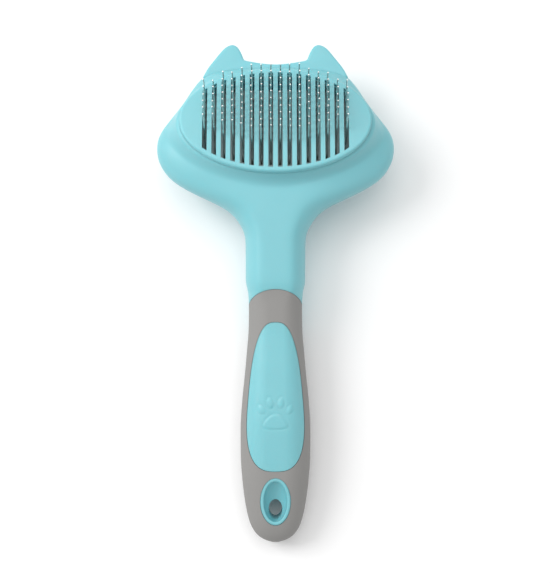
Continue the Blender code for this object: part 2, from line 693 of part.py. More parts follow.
build_front_shell()
build_rear_shell()
grip_front = build_grip("grip_front", 1)
build_grip("grip_rear", -1)
build_inlay(grip_front)
build_eyelet()
for index, (row_x, pins) in enumerate(row_places()):
    build_pin_row(index + 1, row_x, pins)
build_bed()
build_retainer()
build_plate()
build_bridge()
build_button()
build_spring("left", -1)
build_spring("right", 1)
lay_down()
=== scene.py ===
"""Looks of the self-cleaning slicker brush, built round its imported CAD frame.

Shapes are worked out in millimetres in three frames, whose matrices take them to the row frame:
HANDLE has Y from the handle's end to the ears, Z out of the pin side and Z = 0 on the neck's seam;
FACE and SLIDE have their origin at the middle of the oval face, with Z along its normal and along the
cleaning plate's travel.
"""
import json
import math
import random

import bmesh
import bpy
import numpy as np
from mathutils import Matrix, Vector


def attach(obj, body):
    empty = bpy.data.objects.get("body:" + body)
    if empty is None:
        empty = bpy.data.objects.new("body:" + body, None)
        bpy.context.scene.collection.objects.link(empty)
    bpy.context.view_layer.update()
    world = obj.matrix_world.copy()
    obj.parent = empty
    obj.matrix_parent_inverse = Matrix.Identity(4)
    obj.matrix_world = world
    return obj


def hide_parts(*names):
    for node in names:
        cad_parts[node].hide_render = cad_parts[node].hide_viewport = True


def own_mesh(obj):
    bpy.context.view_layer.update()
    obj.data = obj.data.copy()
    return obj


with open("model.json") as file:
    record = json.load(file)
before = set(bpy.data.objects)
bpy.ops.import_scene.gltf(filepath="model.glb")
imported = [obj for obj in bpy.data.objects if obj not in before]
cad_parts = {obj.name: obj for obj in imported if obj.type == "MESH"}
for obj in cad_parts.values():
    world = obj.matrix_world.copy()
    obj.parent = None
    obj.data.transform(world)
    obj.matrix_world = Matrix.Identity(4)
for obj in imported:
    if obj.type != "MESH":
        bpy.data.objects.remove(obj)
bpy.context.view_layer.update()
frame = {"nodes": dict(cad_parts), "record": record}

MM = 0.001
CLEARANCE = 0.3
WALL = 2.0
GRIP_WALL = 1.6

# Face of the head: centre, tilt, collar, lip and opening (half sizes of ellipses)
FACE_Y = 165.1
FACE_Z = 9.9
FACE_TILT = math.radians(13.1)
COLLAR = (38.9, 21.3)
COLLAR_Y = 164.6
COLLAR_ROUND = 2.0
COLLAR_ARC = math.radians(60)
COLLAR_FILLET = 3.6
LIP = (35.9, 19.3)
LIP_HEIGHT = 1.2
OPENING = (34.7, 18.8)

# Cleaning plate
PLATE = (37.2, 21.1)
PLATE_LOW = 0.3
PLATE_HIGH = 3.0
PLATE_RECESS = (36.2, 19.8)
PLATE_TOP = 1.5
PLATE_EDGE = 0.9
SLOT_PITCH = 3.65
SLOT_WIDTH = 1.85
SLOT_FIELD = (35.4, 19.4)
POST_X = 32.2
POST_RADIUS = 1.8

# Pins
PINS_PER_ROW = (10, 10, 10, 9, 8, 8, 6, 6)
PIN_PITCH = 2.76
ROW_OFFSET = -0.9
ROW_OFFSET_PER_PIN = 0.2
PIN_LEAN = math.radians(18.0)
PIN_TIP_LEAN = math.radians(-10.5)
PIN_TIP = 2.8
PIN_KNEE_HEIGHT = 10.6
PIN_RADIUS = 0.29
PIN_BEND = 0.75
PIN_FOOT = -11.3
TIP_ROUND = ((0.92, 0.2), (0.72, 0.34), (0.4, 0.38))

# Ejector
SLIDE_LEAN = math.radians(26.1)
BRIDGE_FRONT = -21.8
BUTTON_U = 8.4
BUTTON_WIDTH = 25.8
BUTTON_HEIGHT = 20.6
BUTTON_CORNER = (4.8, 6.5)
BUTTON_SHOULDER = 7.7
BUTTON_INNER = -24.7
DIAMOND = 3.88
DIAMOND_HEIGHT = 0.42
SPRING_X = 22.0
SPRING_WIRE = 0.25
SPRING_RADII = (3.2, 1.9)
SPRING_TURNS = 4
SPRING_TOP = -13.85

# Handle details
EYELET_Y = 17.3
EYELET_HALF = (6.0, 9.5)
EYELET_LIP = 1.3
EYELET_SUNK = 0.5
HOLE_Y = 13.6
HOLE_HALF = (2.7, 4.0)
THROAT_HALF = 4.8
INLAY_ENDS = (29.4, 87.2)
INLAY_HALF = 10.55
INLAY_POWER = 2.8
INLAY_TAPER = 0.235
GRIP_FRONT_END = 100.0
GRIP_REAR_END = 85.5
GRIP_ARCH = (10.9, 8.0)
GRIP_JOIN = 0.12
NECK_Y = 118.0

# Outline of the two halves: (distance from the handle's end, size)
HALF_WIDTH = ((0.0, 1.6), (0.7, 3.8), (2.0, 6.2), (4.0, 8.2), (7.0, 9.9), (11.0, 11.1), (17.0, 12.2),
              (25.0, 13.2), (35.0, 13.8), (45.0, 13.85), (56.0, 13.2), (66.0, 12.2), (76.0, 11.3),
              (86.0, 10.6), (93.0, 10.55), (98.5, 10.8), (103.0, 11.8), (117.0, 11.85), (120.5, 12.0),
              (124.0, 13.1), (127.5, 15.3), (130.5, 18.0), (133.0, 21.8), (135.5, 27.2), (138.0, 32.5),
              (141.0, 38.0), (144.0, 42.0), (148.0, 45.0), (152.0, 46.7), (156.0, 47.2), (159.5, 46.8),
              (163.0, 45.3), (167.0, 42.4), (171.0, 39.3), (175.0, 36.4), (179.0, 33.9), (182.5, 31.4),
              (184.5, 29.6), (186.0, 27.4), (187.0, 24.8), (188.0, 20.6), (188.6, 17.5), (189.1, 14.0))
FRONT_DEPTH = ((0.0, 1.3), (0.7, 2.8), (2.0, 4.6), (4.0, 6.2), (7.0, 7.6), (11.0, 8.8), (17.0, 9.9),
               (30.0, 11.2), (45.0, 11.6), (66.0, 10.8), (86.0, 9.8), (98.0, 10.05), (102.5, 10.95),
               (128.0, 11.0), (140.0, 11.0), (148.0, 11.8), (156.0, 12.4), (167.0, 11.6), (178.0, 10.4),
               (182.0, 9.3), (185.0, 8.0), (187.0, 6.2), (188.0, 4.6), (188.6, 3.2), (189.1, 1.2))
REAR_DEPTH = ((0.0, 1.2), (0.7, 2.6), (2.0, 4.2), (4.0, 5.6), (7.0, 6.9), (11.0, 8.0), (17.0, 9.0),
              (30.0, 10.3), (45.0, 10.6), (66.0, 9.4), (86.0, 8.0), (103.0, 8.2), (111.4, 8.1),
              (124.3, 8.2), (131.6, 7.9), (136.4, 8.5), (139.5, 9.9), (142.8, 12.1), (149.0, 16.7),
              (154.0, 18.7), (159.1, 19.7), (163.8, 19.4), (171.6, 17.3), (178.7, 14.2), (184.7, 9.8),
              (187.0, 7.2), (188.0, 5.4), (188.6, 3.6), (189.1, 0.4))
SEAM_HEIGHT = ((0.0, 0.0), (138.0, 0.0), (142.0, -0.05), (151.5, -0.8), (167.1, -3.0), (189.9, -6.0),
               (198.0, -7.07))
SIDE_POWER = 2.3
FACET_RISE = 0.11
FACET_EDGE = 0.09
FACET_FADE = (122.0, 150.0)
FACET_NECK = (92.0, 102.0)
FACET_END = (14.0, 30.0)
TOP_Y = HALF_WIDTH[-1][0]
LENGTH = 198.0
SEAM_LEAN = math.radians(7.5)
INSIDE_SPAN = (4.0, 186.3)

# One ear, right-hand side: (distance from the centre line, distance from the handle's end)
EAR = ((29.0, 184.6), (27.9, 186.8), (26.7, 188.8), (25.4, 190.5), (23.7, 192.7), (21.3, 195.7),
       (19.4, 197.3), (17.3, 198.0), (15.4, 197.2), (14.0, 195.1), (13.2, 193.2), (12.6, 191.9),
       (11.6, 191.4), (9.0, 190.9), (6.0, 190.4), (3.0, 190.05), (0.0, 189.9))
EAR_BASE = 183.0
EAR_THICK = 2.8
EAR_Y = 189.9
EAR_Z = -5.85


# ---------------------------------------------------------------- profiles and frames

def smooth_profile(points, blur=1.2):
    """Return a function through the points, without overshoot and with its bends eased."""
    xs, ys = np.array(points, float).T
    chords = np.diff(ys) / np.diff(xs)
    slopes = np.empty_like(xs)
    slopes[0], slopes[-1] = chords[0], chords[-1]
    before, after = chords[:-1], chords[1:]
    total = np.where(before + after == 0, 1.0, before + after)
    slopes[1:-1] = np.where(before * after > 0, 2 * before * after / total, 0.0)
    fine = np.arange(xs[0], xs[-1] + 0.05, 0.1)
    i = np.clip(np.searchsorted(xs, fine, side="right") - 1, 0, len(xs) - 2)
    span = xs[i + 1] - xs[i]
    t = (fine - xs[i]) / span
    bend = span * t * (1 - t) * ((1 - t) * slopes[i] - t * slopes[i + 1])
    exact = ys[i] + (ys[i + 1] - ys[i]) * (3 * t**2 - 2 * t**3) + bend
    reach = int(blur * 30)
    kernel = np.exp(-0.5 * (np.arange(-reach, reach + 1) / (blur * 10)) ** 2)
    padded = np.pad(exact, reach, mode="edge")
    eased = np.convolve(padded, kernel / kernel.sum(), mode="valid")
    ends = np.minimum(fine - xs[0], xs[-1] - fine)
    keep = np.clip((ends - 2.0) / 8.0, 0.0, 1.0)
    curve = exact + (eased - exact) * keep * keep * (3 - 2 * keep)
    return lambda x: np.interp(x, fine, curve)


half_width = smooth_profile(HALF_WIDTH)
front_depth = smooth_profile(FRONT_DEPTH)
rear_depth = smooth_profile(REAR_DEPTH, blur=2.0)
seam_height = smooth_profile(SEAM_HEIGHT, blur=4.0)


def ease(x, low, high):
    """Smooth step from 0 at low to 1 at high."""
    t = np.clip((x - low) / (high - low), 0.0, 1.0)
    return t * t * (3 - 2 * t)


def facet_rise(y):
    """How far the section would rise over its flat front: the facet fades out in the head."""
    share = (1 - ease(y, *FACET_FADE)) * (0.3 + 0.7 * ease(y, *FACET_NECK)) * ease(y, *FACET_END)
    return 1.0 + FACET_RISE * share


def dome(across, power):
    """Height of a superellipse of half size 1 at the given distance from its middle."""
    return (1 - np.clip(np.abs(across), 0, 1) ** power) ** (1 / power)


def front_dome(across, y):
    """Front section as a share of its depth: a superellipse with its top shaved to a soft-edged flat."""
    rise = facet_rise(y)
    full = rise * dome(across, SIDE_POWER)
    overlap = np.clip(1 - np.abs(full - 1) / FACET_EDGE, 0, 1)
    softening = FACET_EDGE * overlap**2 / 4 * ease(rise, 1.0, 1.06)
    return np.where(rise > 1.001, np.minimum(full, 1) - softening, full)


def front_height(x, y):
    """Height of the front half's skin, without the collar."""
    return seam_height(y) + front_depth(y) * front_dome(x / half_width(y), y)


def rear_height(x, y):
    """Height of the rear half's skin."""
    return seam_height(y) - rear_depth(y) * dome(x / half_width(y), SIDE_POWER)


def lip_height(y, depth, sign):
    """Height of the eyelet's flat CAD lip, which follows the taper of the handle's end."""
    low = EYELET_Y - EYELET_HALF[1]
    high = EYELET_Y + EYELET_HALF[1]
    slope = (depth(high) - depth(low)) / (high - low)
    return sign * (depth(EYELET_Y) - EYELET_SUNK + slope * (y - EYELET_Y))


def handle_matrix():
    """Row frame from handle frame: the tilt follows from the slide axis, the place from a mount."""
    axis = frame["record"]["behaviour"]["joints"][0]["axis"]
    tilt = SLIDE_LEAN - math.atan2(axis[1], axis[2])
    turn = Matrix.Rotation(tilt, 4, 'X')
    mount = next(m for m in frame["record"]["mounts"] if m["name"] == "hang_front")
    y = EYELET_Y - EYELET_HALF[1] + EYELET_LIP / 2
    local = Vector((0.0, y, lip_height(y, front_depth, 1))) * MM
    shift = Vector(mount["pos_m"]) - turn @ local
    return Matrix.Translation(shift) @ turn @ Matrix.Scale(MM, 4)


HANDLE = handle_matrix()
FACE = HANDLE @ Matrix.Translation((0, FACE_Y, FACE_Z)) @ Matrix.Rotation(-FACE_TILT, 4, 'X')
SLIDE = HANDLE @ Matrix.Translation((0, FACE_Y, FACE_Z)) @ Matrix.Rotation(-SLIDE_LEAN, 4, 'X')


def face_to_handle(x, across, lift):
    """Handle-frame coordinates of points given in the face's own frame, as arrays."""
    y = FACE_Y + across * math.cos(FACE_TILT) + lift * math.sin(FACE_TILT)
    z = FACE_Z - across * math.sin(FACE_TILT) + lift * math.cos(FACE_TILT)
    return np.stack(np.broadcast_arrays(x, y, z), axis=-1)


# ---------------------------------------------------------------- mesh helpers

def new_object(name, verts, faces, matrix=HANDLE):
    """Mesh object in the row frame from vertices given in the frame of matrix."""
    placed = np.asarray(verts, float) @ np.array(matrix.to_3x3()).T + np.array(matrix.translation)
    mesh = bpy.data.meshes.new(name)
    mesh.from_pydata(placed.tolist(), [], faces)
    bm = bmesh.new()
    bm.from_mesh(mesh)
    bmesh.ops.recalc_face_normals(bm, faces=bm.faces)
    bm.to_mesh(mesh)
    bm.free()
    made = bpy.data.objects.new(name, mesh)
    bpy.context.scene.collection.objects.link(made)
    return made


def loft(rings, first=0):
    """Vertices and faces of a capped skin over closed rings of equal length, numbered from first."""
    size = len(rings[0])
    verts = np.concatenate(rings)
    faces = [tuple(range(first, first + size))]
    for row in range(len(rings) - 1):
        for i in range(size):
            j = (i + 1) % size
            low, high = first + row * size, first + (row + 1) * size
            faces.append((low + i, low + j, high + j, high + i))
    faces.append(tuple(range(first + (len(rings) - 1) * size, first + len(rings) * size)))
    return verts, faces


def loft_object(name, rings, matrix=HANDLE):
    """Closed solid lofted over rings given in the frame of matrix."""
    return new_object(name, *loft(rings), matrix)


def loop_object(name, rings, matrix=HANDLE):
    """Closed tube of rings whose last joins its first, such as an eyelet."""
    size, count = len(rings[0]), len(rings)
    faces = []
    for row in range(count):
        after = (row + 1) % count
        for i in range(size):
            j = (i + 1) % size
            faces.append((row * size + i, row * size + j, after * size + j, after * size + i))
    return new_object(name, np.concatenate(rings), faces, matrix)


def ellipse(half, height, steps=128, centre=(0.0, 0.0)):
    """Ring of points on a level ellipse."""
    angle = 2 * math.pi * np.arange(steps) / steps
    return np.stack([centre[0] + half[0] * np.cos(angle), centre[1] + half[1] * np.sin(angle),
                     np.full(steps, float(height))], axis=1)


def prism_rings(outline, low, high):
    """A flat outline at two heights, for a straight-sided loft."""
    outline = np.array(outline, float)
    return [np.column_stack([outline, np.full(len(outline), float(z))]) for z in (low, high)]


def apply_modifiers(piece):
    """Bake the modifiers into the piece's own mesh."""
    bpy.context.view_layer.update()
    evaluated = piece.evaluated_get(bpy.context.evaluated_depsgraph_get())
    mesh = bpy.data.meshes.new_from_object(evaluated)
    piece.modifiers.clear()
    piece.data = mesh


def combine(piece, other, operation):
    """Apply an exact Boolean with another object, which is used up."""
    boolean = piece.modifiers.new(operation, 'BOOLEAN')
    boolean.operation = operation
    boolean.object = other
    boolean.solver = 'EXACT'
    apply_modifiers(piece)
    bpy.data.objects.remove(other)


def finish_piece(piece, body, finish, nodes, sharp=32.0):
    """Shading, material, and the calls that tie the piece to the frame."""
    mesh = piece.data
    bm = bmesh.new()
    bm.from_mesh(mesh)
    bmesh.ops.remove_doubles(bm, verts=bm.verts, dist=0.000004)
    bmesh.ops.dissolve_degenerate(bm, edges=bm.edges, dist=0.000002)
    bm.to_mesh(mesh)
    bm.free()
    mesh.shade_smooth()
    mesh.set_sharp_from_angle(angle=math.radians(sharp))
    mesh.materials.clear()
    mesh.materials.append(MATERIALS[finish])
    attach(piece, body)
    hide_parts(*nodes)
    return piece


# ---------------------------------------------------------------- materials

def node_material(name, colour, roughness, metallic=0.0, speckle=0.03, grain=0.0002, bump=0.05,
                  variation=0.04, subsurface=0.0):
    """Moulded plastic, rubber or metal with soft mottling, roughness variation and fine grain."""
    made = bpy.data.materials.new(name)
    made.use_nodes = True
    nodes, links = made.node_tree.nodes, made.node_tree.links
    shader = nodes["Principled BSDF"]
    shader.inputs["Metallic"].default_value = metallic
    shader.inputs["Subsurface Weight"].default_value = subsurface
    shader.inputs["Subsurface Scale"].default_value = 0.003
    shader.inputs["Subsurface Radius"].default_value = (0.35, 1.0, 1.1)
    place_node = nodes.new("ShaderNodeTexCoord")
    broad = nodes.new("ShaderNodeTexNoise")
    broad.inputs["Scale"].default_value = 38.0
    broad.inputs["Detail"].default_value = 3.0
    links.new(place_node.outputs["Object"], broad.inputs["Vector"])
    tint = nodes.new("ShaderNodeMapRange")
    tint.inputs["To Min"].default_value = 1.0 - variation
    tint.inputs["To Max"].default_value = 1.0 + variation
    links.new(broad.outputs["Fac"], tint.inputs["Value"])
    scale = nodes.new("ShaderNodeVectorMath")
    scale.operation = 'SCALE'
    scale.inputs[0].default_value = colour
    links.new(tint.outputs["Result"], scale.inputs["Scale"])
    links.new(scale.outputs["Vector"], shader.inputs["Base Color"])
    fine = nodes.new("ShaderNodeTexNoise")
    fine.inputs["Scale"].default_value = 1.0 / grain
    fine.inputs["Detail"].default_value = 2.0
    links.new(place_node.outputs["Object"], fine.inputs["Vector"])
    rough = nodes.new("ShaderNodeMapRange")
    rough.inputs["To Min"].default_value = max(roughness - speckle, 0.02)
    rough.inputs["To Max"].default_value = min(roughness + speckle, 1.0)
    links.new(broad.outputs["Fac"], rough.inputs["Value"])
    links.new(rough.outputs["Result"], shader.inputs["Roughness"])
    relief = nodes.new("ShaderNodeBump")
    relief.inputs["Strength"].default_value = bump
    relief.inputs["Distance"].default_value = 0.00005
    links.new(fine.outputs["Fac"], relief.inputs["Height"])
    links.new(relief.outputs["Normal"], shader.inputs["Normal"])
    return made


MATERIALS = {
    "shell_teal": node_material("shell_teal", (0.210, 0.546, 0.600), 0.42, speckle=0.05, grain=0.0004,
                                bump=0.10, variation=0.025, subsurface=0.3),
    "grip_grey": node_material("grip_grey", (0.275, 0.27, 0.262), 0.72, speckle=0.06, grain=0.0003,
                               bump=0.35, variation=0.05),
    "pin_steel": node_material("pin_steel", (0.80, 0.80, 0.78), 0.28, metallic=1.0, speckle=0.08,
                               grain=0.0005, bump=0.1, variation=0.12),
    "screw_steel": node_material("screw_steel", (0.55, 0.55, 0.54), 0.35, metallic=1.0, speckle=0.1,
                                 grain=0.0005, bump=0.15, variation=0.12),
    "bed_white": node_material("bed_white", (0.48, 0.575, 0.575), 0.55, speckle=0.05, grain=0.0004,
                               bump=0.15, variation=0.04),
}


# ---------------------------------------------------------------- casing

def outline_points():
    """Head boundary, anticlockwise from the neck's left corner, and the angles of the neck's points."""
    steps = 40
    spacing = 1.1
    theta = math.pi * np.arange(steps + 1) / steps
    neck_x = -half_width(NECK_Y) * np.cos(theta)
    neck = np.column_stack([neck_x, np.full(steps + 1, NECK_Y)])
    y = np.linspace(NECK_Y, TOP_Y, 1500)
    side = np.column_stack([half_width(y), y])
    length = np.concatenate([[0], np.cumsum(np.hypot(*np.diff(side, axis=0).T))])
    count = int(length[-1] / spacing)
    spots = np.interp(np.linspace(0, length[-1], count + 1), length, y)[1:]
    right = np.column_stack([half_width(spots), spots])
    top_x = np.linspace(right[-1, 0], -right[-1, 0], 21)[1:-1]
    top = np.column_stack([top_x, np.full(len(top_x), TOP_Y)])
    left = right[::-1] * (-1, 1)
    return np.concatenate([neck, right, top, left]), theta


def smooth_max(a, b, reach):
    """The larger of a and b, rounded where they differ by less than reach."""
    reach = np.maximum(reach, 1e-6)
    overlap = np.clip(1 - np.abs(a - b) / reach, 0, 1)
    return np.maximum(a, b) + reach * overlap**2 / 4


def collar_plane(y):
    """Height of the tilted plane that the collar's flat land lies in."""
    return FACE_Z - math.tan(FACE_TILT) * (y - FACE_Y)


def head_rings(outer):
    """Rings from the lip's top out over the collar, its wall and the cheeks to the outline."""
    angle = np.arctan2(outer[:, 1] - COLLAR_Y, outer[:, 0])
    cos, sin = np.cos(angle), np.sin(angle)

    def oval(half):
        reach = 1 / np.sqrt((cos / half[0]) ** 2 + (sin / half[1]) ** 2)
        return reach * cos, reach * sin

    rings = []
    for inset, lift in ((0.9, LIP_HEIGHT), (0.35, LIP_HEIGHT), (0.1, LIP_HEIGHT - 0.1),
                        (0.0, LIP_HEIGHT - 0.35), (0.0, 0.25), (-0.1, 0.05), (-0.3, 0.0)):
        rings.append(face_to_handle(*oval((LIP[0] - inset, LIP[1] - inset)), lift))
    foot = rings[-1]
    edge_x, edge_y = oval((COLLAR[0], COLLAR[1] * math.cos(FACE_TILT)))
    edge_y = edge_y + COLLAR_Y
    run = np.hypot(edge_x - foot[:, 0], edge_y - foot[:, 1])
    radius = np.minimum(COLLAR_ROUND, 0.95 * run)
    for bend in np.linspace(0.0, COLLAR_ARC, 8):
        back = radius * (math.sin(COLLAR_ARC) - math.sin(bend))
        share = 1 - back / run
        x = foot[:, 0] + (edge_x - foot[:, 0]) * share
        y = foot[:, 1] + (edge_y - foot[:, 1]) * share
        z = collar_plane(y) - radius * (1 - math.cos(bend))
        rings.append(np.column_stack([x, y, z]))
    room = np.hypot(outer[:, 0] - edge_x, outer[:, 1] - edge_y)
    start = collar_plane(edge_y) - radius * (1 - math.cos(COLLAR_ARC))
    fall = np.maximum(math.tan(COLLAR_ARC), (start - seam_height(outer[:, 1]) + 0.6) / room)
    steps = 40
    for step in range(1, steps + 1):
        share = (1 - math.cos(math.pi * step / steps)) / 2
        x = edge_x + (outer[:, 0] - edge_x) * share
        y = edge_y + (outer[:, 1] - edge_y) * share
        wall = start + (collar_plane(y) - collar_plane(edge_y)) - fall * room * share
        left = room * (1 - share)
        z = smooth_max(front_height(x, y), wall, COLLAR_FILLET * np.minimum(1.0, left / 5.0))
        if step == steps:
            z = np.where(outer[:, 1] > NECK_Y, seam_height(y), z)
        rings.append(np.column_stack([x, y, z]))
    return rings


def front_solid():
    """Closed solid of the front half, carried below the seam, where it is cut off later."""
    outer, theta = outline_points()
    rings = head_rings(outer)
    verts, faces = loft(rings)
    verts, rim = list(verts), list(faces.pop())
    neck_count = len(theta)
    previous = rim[:neck_count]
    left_edge, right_edge = [previous[0]], [previous[-1]]
    stations = np.concatenate([np.arange(NECK_Y - 1.5, 12.0, -1.5), np.linspace(12.0, 4.0, 9),
                               (3.0, 2.0, 1.3, 0.7, 0.3, 0.0)])
    for y in stations:
        width = float(half_width(y))
        x = -width * np.cos(theta)
        z = front_height(x, np.full(neck_count, y))
        row = list(range(len(verts), len(verts) + neck_count))
        verts += list(np.column_stack([x, np.full(neck_count, y), z]))
        faces += [(previous[i], previous[i + 1], row[i + 1], row[i]) for i in range(neck_count - 1)]
        previous = row
        left_edge.append(row[0])
        right_edge.append(row[-1])
    rim_loop = right_edge[::-1] + rim[neck_count:] + left_edge + previous[1:-1]
    below = list(range(len(verts), len(verts) + len(rim_loop)))
    verts += [(verts[i][0], verts[i][1], -16.0) for i in rim_loop]
    for i in range(len(rim_loop)):
        j = (i + 1) % len(rim_loop)
        faces.append((rim_loop[i], rim_loop[j], below[j], below[i]))
    faces.append(tuple(below))
    return new_object("front_shell_skin", np.array(verts), faces)


def section(y, side, inset=0.0, past_seam=None, steps=48):
    """Closed ring of one half's cross-section: side is +1 for the front half and -1 for the rear."""
    angle = math.pi * np.arange(steps + 1) / steps
    depth = float((front_depth if side > 0 else rear_depth)(y)) - inset
    width = float(half_width(y)) - inset
    base = float(seam_height(y)) + side * CLEARANCE / 2
    across = np.sign(np.cos(angle)) * np.abs(np.cos(angle)) ** (2 / SIDE_POWER)
    line = np.full(steps + 1, y)
    height = np.abs(np.sin(angle)) ** (2 / SIDE_POWER) if side < 0 else front_dome(across, line)
    ring = np.column_stack([width * across, line, base + side * depth * height])
    if past_seam is not None:
        low = base - side * past_seam
        ring = np.concatenate([ring, [(-width, y, low), (width, y, low)]])
    return ring


def half_loft(name, side, span, inset=0.0, past_seam=None, gap=1.2, steps=48):
    """Closed loft of one half between two stations, denser at the object's rounded ends."""
    low, high = span
    rounded = (0.3, 0.7, 1.3, 2.0, 3.0, 4.0, 185.5, 186.5, 187.2, 187.8, 188.3, 188.7, 188.9, 189.0)
    stations = set(np.arange(low, high, gap)) | {low, high} | {y for y in rounded if low < y < high}
    ordered = sorted(stations)
    kept = [ordered[0]] + [b for a, b in zip(ordered, ordered[1:]) if b - a > 0.05]
    kept[-1] = high
    return loft_object(name, [section(y, side, inset, past_seam, steps) for y in kept])


def below_seam():
    """Block under the parting surface, used to cut the front half off at its seam."""
    low, high = -10.0, LENGTH + 7.0
    y = np.linspace(low, high, 120)
    top = np.column_stack([y, seam_height(np.clip(y, 0, LENGTH)) + CLEARANCE / 2])
    outline = np.concatenate([top, [(high, -40.0), (low, -40.0)]])
    rings = [np.column_stack([np.full(len(outline), x), outline]) for x in (-60.0, 60.0)]
    return loft_object("below_seam", rings)


def rounded_slab(name, outline, thick, edge, matrix):
    """Flat tab with rounded edges from a smooth outline, resting on the matrix's XY plane."""
    curve = bpy.data.curves.new(name, 'CURVE')
    curve.dimensions = '2D'
    curve.fill_mode = 'BOTH'
    curve.extrude = thick / 2 - edge
    curve.bevel_depth = edge
    curve.bevel_resolution = 4
    curve.offset = -edge
    spline = curve.splines.new('POLY')
    spline.points.add(len(outline) - 1)
    for point, (x, y) in zip(spline.points, outline):
        point.co = (x, y, 0.0, 1.0)
    spline.use_cyclic_u = True
    holder = bpy.data.objects.new(name, curve)
    bpy.context.scene.collection.objects.link(holder)
    bpy.context.view_layer.update()
    mesh = bpy.data.meshes.new_from_object(holder.evaluated_get(bpy.context.evaluated_depsgraph_get()))
    bpy.data.objects.remove(holder)
    bm = bmesh.new()
    bm.from_mesh(mesh)
    bmesh.ops.remove_doubles(bm, verts=bm.verts, dist=0.001)
    bmesh.ops.recalc_face_normals(bm, faces=bm.faces)
    bmesh.ops.translate(bm, vec=(0, 0, thick / 2), verts=bm.verts)
    bmesh.ops.transform(bm, matrix=matrix, verts=bm.verts)
    bm.to_mesh(mesh)
    bm.free()
    made = bpy.data.objects.new(name, mesh)
    bpy.context.scene.collection.objects.link(made)
    return made


def smooth_run(points, per_span=4):
    """Points on an open Catmull-Rom curve through the given ones."""
    points = np.array(points, float)
    points = np.concatenate([[2 * points[0] - points[1]], points, [2 * points[-1] - points[-2]]])
    out = []
    for before, here, after, far in zip(points, points[1:], points[2:], points[3:]):
        for t in np.arange(per_span) / per_span:
            square = 2 * before - 5 * here + 4 * after - far
            cube = 3 * here - before - 3 * after + far
            out.append(0.5 * (2 * here + (after - before) * t + square * t**2 + cube * t**3))
    return np.array(out + [points[-2]])


def ears():
    """Both ears and the low web between them, as one flat tab in the plane of the seam."""
    right = smooth_run(EAR)
    left = right[-2::-1] * (-1, 1)
    base = EAR[0][0] - 2.0
    outline = np.concatenate([right, left, [(-base, EAR_BASE), (base, EAR_BASE)]])
    lean = Matrix.Translation((0, EAR_Y, EAR_Z)) @ Matrix.Rotation(-SEAM_LEAN, 4, 'X')
    return rounded_slab("ears", outline - (0, EAR_Y), EAR_THICK, 0.9, HANDLE @ lean)


def grip_region(side, grow):
    """Prism that says where the soft grip covers one half of the handle."""
    if side < 0:
        edge = GRIP_REAR_END + grow
        outline = ((-20, -5), (20, -5), (20, edge), (-20, edge))
        return loft_object("region", prism_rings(outline, -35, 5))
    angle = math.pi * np.arange(33) / 32
    half, rise = GRIP_ARCH[0] + grow, GRIP_ARCH[1] + grow
    shoulder = GRIP_FRONT_END - GRIP_ARCH[1]
    arch = np.column_stack([half * np.cos(angle), shoulder + rise * np.sin(angle)])
    box = [(-20.0, -5.0), (20.0, -5.0), (20.0, shoulder)]
    outline = np.concatenate([box, arch, [(-20.0, shoulder)]])
    return loft_object("region", prism_rings(outline, -5.0, 30.0))


def eyelet_cutter(grow=CLEARANCE):
    """Oval plug that leaves room for the eyelet in the shells and grips."""
    ring = ellipse((EYELET_HALF[0] + grow, EYELET_HALF[1] + grow), 0.0, 48, (0.0, EYELET_Y))[:, :2]
    return loft_object("eyelet_cutter", prism_rings(ring, -20.0, 20.0))


def grip_pocket(side, gap):
    """What a shell half gives up for its soft grip: the covered length, down to the handle's core."""
    pocket = grip_region(side, gap)
    core = half_loft("core", side, (2.2, 112.0), GRIP_WALL + CLEARANCE, past_seam=8.0, gap=4.0, steps=32)
    combine(pocket, core, 'DIFFERENCE')
    return pocket


def build_front_shell():
    """Front half with its ears, hollowed, opened for the pins and recessed for the grip."""
    shell = front_solid()
    combine(shell, below_seam(), 'DIFFERENCE')
    combine(shell, ears(), 'UNION')
    inside = half_loft("inside", 1, INSIDE_SPAN, WALL, past_seam=1.5, gap=5.0, steps=24)
    combine(shell, inside, 'DIFFERENCE')
    opening = loft_object("opening", [ellipse(OPENING, z) for z in (-11.0, 6.0)], FACE)
    combine(shell, opening, 'DIFFERENCE')
    combine(shell, grip_pocket(1, GRIP_JOIN), 'DIFFERENCE')
    combine(shell, eyelet_cutter(), 'DIFFERENCE')
    return finish_piece(shell, "casing", "shell_teal", ["front_shell"])


def button_outline(grow=0.0, steps=72):
    """D outline in the slide frame: a round arch over a flat foot with rounded corners."""
    half = BUTTON_WIDTH / 2 + grow
    corner, rise = BUTTON_CORNER[0] + grow, BUTTON_CORNER[1] + grow
    foot = BUTTON_U - BUTTON_HEIGHT / 2 - grow
    shoulder = foot + grow + BUTTON_SHOULDER
    arch = BUTTON_U + BUTTON_HEIGHT / 2 + grow - shoulder
    up = math.pi * np.arange(steps + 1) / steps
    turn = math.pi / 2 * np.arange(17) / 16
    flat = np.linspace(corner - half, half - corner, 25)[1:-1]
    return np.concatenate([
        np.column_stack([half * np.cos(up), shoulder + arch * np.sin(up)]),
        np.column_stack([corner - half - corner * np.cos(turn), foot + rise - rise * np.sin(turn)]),
        np.column_stack([flat, np.full(len(flat), foot)]),
        np.column_stack([half - corner + corner * np.sin(turn), foot + rise - rise * np.cos(turn)])])


